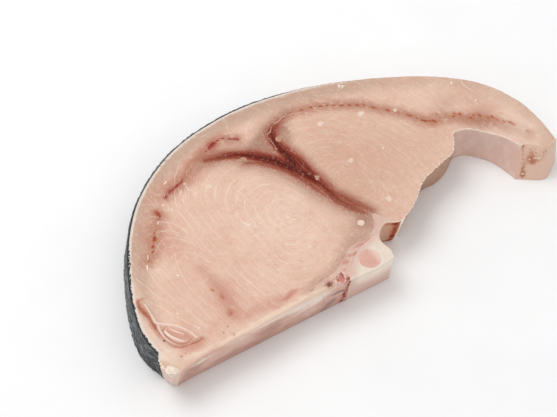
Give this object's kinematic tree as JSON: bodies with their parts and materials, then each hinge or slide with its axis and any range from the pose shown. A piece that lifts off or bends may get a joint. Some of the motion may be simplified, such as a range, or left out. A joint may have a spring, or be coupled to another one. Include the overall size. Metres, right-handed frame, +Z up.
{
  "type": "swordfish steak",
  "caption": "Thick half-moon fish steak lying flat: pale ringed flesh with a dark muscle streak, a skin edge, a belly flap and a split backbone joint with a round core.",
  "frame": {"origin": "on the table plane, below the middle of the steak's bounding box", "axes": "+X along the straight split from the back fin side to the belly flap, +Y from the split towards the skin, +Z up through the thickness"},
  "size_m": [0.304, 0.1572, 0.0258],
  "materials": {
    "flesh": "moist, soft gloss",
    "bone": "moist, satin",
    "core": "moist, smooth gloss",
    "skin": "wet, wrinkled, soft sheen"
  },
  "bodies": {
    "root": {"flesh": "flesh", "backbone": "bone", "backbone_disc": "core"}
  },
  "joints": []
}
